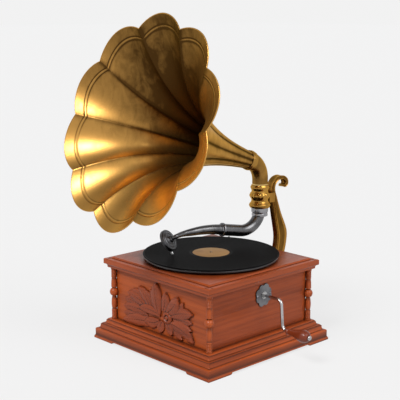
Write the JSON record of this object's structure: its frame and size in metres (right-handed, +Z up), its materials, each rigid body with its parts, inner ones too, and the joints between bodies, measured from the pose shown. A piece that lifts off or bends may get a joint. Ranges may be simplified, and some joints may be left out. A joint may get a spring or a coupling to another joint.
{
  "type": "gramophone",
  "caption": "Wind-up table gramophone: flower horn on a back bracket, swinging tone arm, turntable and crank on a square carved wooden cabinet.",
  "frame": {"origin": "on the table plane, under the middle of the square cabinet and on the turntable axis", "axes": "+Z up; -Y is the carved front that the horn faces; +X is the crank side; +Y is the back with the horn bracket"},
  "size_m": [0.4994, 0.527, 0.7174],
  "materials": {
    "plinth": "satin reddish mahogany",
    "bottom_board": "plain unpolished board",
    "front_panel": "satin reddish mahogany",
    "back_panel": "satin reddish mahogany",
    "left_panel": "satin reddish mahogany",
    "right_panel": "satin reddish mahogany",
    "corner_columns": "turned and polished",
    "cove_moulding": "satin reddish mahogany",
    "motor_board": "satin reddish mahogany",
    "front_carving": "carved relief, satin",
    "crank_escutcheon": "cast and brushed, grey",
    "wood_screws": "blued steel",
    "crank_bush": "turned steel",
    "horn_bracket": "aged cast brass",
    "horn_socket": "polished turned brass",
    "motor_top_plate": "plated sheet steel",
    "motor_bottom_plate": "plated sheet steel",
    "motor_pillars": "turned steel",
    "governor_bearings": "cast and machined",
    "spindle": "ground steel",
    "platter": "black enamelled",
    "felt_mat": "green felt",
    "record": "black shellac with grooves",
    "record_label": "plain tan paper label",
    "governor_drive_wheel": "cut brass",
    "spring_barrel": "spun brass drum",
    "mainspring": "blued spring steel",
    "winding_arbor": "turned steel",
    "bevel_wheel": "cut brass",
    "ratchet_wheel": "hardened steel",
    "click": "hardened steel",
    "intermediate_wheel": "cut brass",
    "governor_shaft": "ground steel",
    "governor_springs": "thin spring steel",
    "governor_weights": "lead weights",
    "governor_disc": "turned brass",
    "speed_lever": "plated steel",
    "friction_pad": "leather pad",
    "brake_lever": "plated steel",
    "brake_pad": "leather pad",
    "winding_shaft": "turned steel",
    "bevel_pinion": "cut brass",
    "crank_handle": "nickel-plated bent rod",
    "crank_grip": "turned and polished",
    "horn": "satin antique brass sheet",
    "throat_collar": "polished brass band",
    "horn_elbow": "aged brass tube",
    "horn_spigot": "turned brass",
    "arm_collar": "nickel-plated",
    "arm_tube": "dark nickel-plated tube",
    "arm_ring": "nickel-plated",
    "gooseneck": "dark nickel-plated tube",
    "gooseneck_sleeve": "nickel-plated",
    "soundbox_case": "gunmetal",
    "diaphragm": "thin spun sheet",
    "diaphragm_gaskets": "rubber tube rings",
    "face_ring": "turned",
    "stylus_bar": "nickel-plated",
    "needle": "polished steel",
    "needle_screw": "knurled"
  },
  "bodies": {
    "cabinet": {"plinth": "plinth", "bottom_board": "bottom_board", "front_panel": "front_panel", "back_panel": "back_panel", "left_panel": "left_panel", "right_panel": "right_panel", "corner_columns": "corner_columns", "cove_moulding": "cove_moulding", "motor_board": "motor_board", "front_carving": "front_carving", "crank_escutcheon": "crank_escutcheon", "wood_screws": "wood_screws", "crank_bush": "crank_bush", "horn_bracket": "horn_bracket", "horn_socket": "horn_socket", "motor_top_plate": "motor_top_plate", "motor_bottom_plate": "motor_bottom_plate", "motor_pillars": "motor_pillars", "governor_bearings": "governor_bearings"},
    "turntable": {"spindle": "spindle", "platter": "platter", "felt_mat": "felt_mat", "record": "record", "record_label": "record_label", "governor_drive_wheel": "governor_drive_wheel"},
    "barrel": {"spring_barrel": "spring_barrel", "mainspring": "mainspring"},
    "winding_arbor": {"winding_arbor": "winding_arbor", "bevel_wheel": "bevel_wheel", "ratchet_wheel": "ratchet_wheel"},
    "click": {"click": "click"},
    "intermediate": {"intermediate_wheel": "intermediate_wheel"},
    "governor": {"governor_shaft": "governor_shaft", "governor_springs": "governor_springs", "governor_weights": "governor_weights", "governor_disc": "governor_disc"},
    "speed_lever": {"speed_lever": "speed_lever", "friction_pad": "friction_pad"},
    "brake": {"brake_lever": "brake_lever", "brake_pad": "brake_pad"},
    "crank": {"winding_shaft": "winding_shaft", "bevel_pinion": "bevel_pinion", "crank_handle": "crank_handle"},
    "grip": {"crank_grip": "crank_grip"},
    "horn": {"horn": "horn", "throat_collar": "throat_collar", "horn_elbow": "horn_elbow", "horn_spigot": "horn_spigot"},
    "tone_arm": {"arm_collar": "arm_collar", "arm_tube": "arm_tube", "arm_ring": "arm_ring"},
    "gooseneck": {"gooseneck": "gooseneck", "gooseneck_sleeve": "gooseneck_sleeve", "soundbox_case": "soundbox_case", "diaphragm": "diaphragm", "diaphragm_gaskets": "diaphragm_gaskets", "face_ring": "face_ring", "stylus_bar": "stylus_bar", "needle": "needle"},
    "needle_screw": {"needle_screw": "needle_screw"}
  },
  "joints": [
    {"name": "turntable_spin", "type": "hinge", "parent": "cabinet", "child": "turntable", "pos_m": [0, 0, 0.19], "axis": [0, 0, 1], "continuous": true},
    {"name": "intermediate_spin", "type": "hinge", "parent": "cabinet", "child": "intermediate", "pos_m": [0.02973, -0.0203, 0.13], "axis": [0, 0, 1], "continuous": true},
    {"name": "barrel_turn", "type": "hinge", "parent": "cabinet", "child": "barrel", "pos_m": [0.07, 0.01, 0.15], "axis": [0, 0, 1], "continuous": true},
    {"name": "governor_spin", "type": "hinge", "parent": "cabinet", "child": "governor", "pos_m": [-0.029, 0.02, 0.1445], "axis": [0, 1, 0], "continuous": true},
    {"name": "crank_turn", "type": "hinge", "parent": "cabinet", "child": "crank", "pos_m": [0.148, 0.01, 0.1315], "axis": [1, 0, 0], "continuous": true},
    {"name": "winding_arbor_turn", "type": "hinge", "parent": "cabinet", "child": "winding_arbor", "pos_m": [0.07, 0.01, 0.12], "axis": [0, 0, 1], "continuous": true},
    {"name": "grip_spin", "type": "hinge", "parent": "crank", "child": "grip", "pos_m": [0.246, 0.01, 0.0688], "axis": [1, 0, 0], "continuous": true},
    {"name": "click_rock", "type": "hinge", "parent": "cabinet", "child": "click", "pos_m": [0.092, -0.009, 0.115], "axis": [0, 0, 1], "range_deg": [-4.5, 12]},
    {"name": "speed_lever_swing", "type": "hinge", "parent": "cabinet", "child": "speed_lever", "pos_m": [-0.058, 0.052, 0.166], "axis": [0, 0, 1], "range_deg": [-4.5, 3]},
    {"name": "brake_swing", "type": "hinge", "parent": "cabinet", "child": "brake", "pos_m": [-0.10001, 0.13199, 0.188], "axis": [0, 0, 1], "range_deg": [-8, 0]},
    {"name": "horn_turn", "type": "hinge", "parent": "cabinet", "child": "horn", "pos_m": [0, 0.155, 0.32], "axis": [0, 0, 1], "range_deg": [-90, 90]},
    {"name": "arm_swing", "type": "hinge", "parent": "cabinet", "child": "tone_arm", "pos_m": [0, 0.155, 0.28], "axis": [0, 0, 1], "range_deg": [-45, 9]},
    {"name": "gooseneck_turn", "type": "hinge", "parent": "tone_arm", "child": "gooseneck", "pos_m": [-0.01023, 0.10239, 0.22913], "axis": [-0.1882, -0.9682, 0.165], "range_deg": [0, 95]},
    {"name": "needle_screw_turn", "type": "hinge", "parent": "gooseneck", "child": "needle_screw", "pos_m": [-0.04137, -0.0773, 0.20236], "axis": [0.3746, -0.9272, 0], "range_deg": [0, 540]}
  ],
  "couplings": [
    {"joint": "intermediate_spin", "follows": "turntable_spin", "ratio": -0.2},
    {"joint": "barrel_turn", "follows": "turntable_spin", "ratio": 0.033333},
    {"joint": "governor_spin", "follows": "turntable_spin", "ratio": 12},
    {"joint": "winding_arbor_turn", "follows": "crank_turn", "ratio": 0.5}
  ]
}
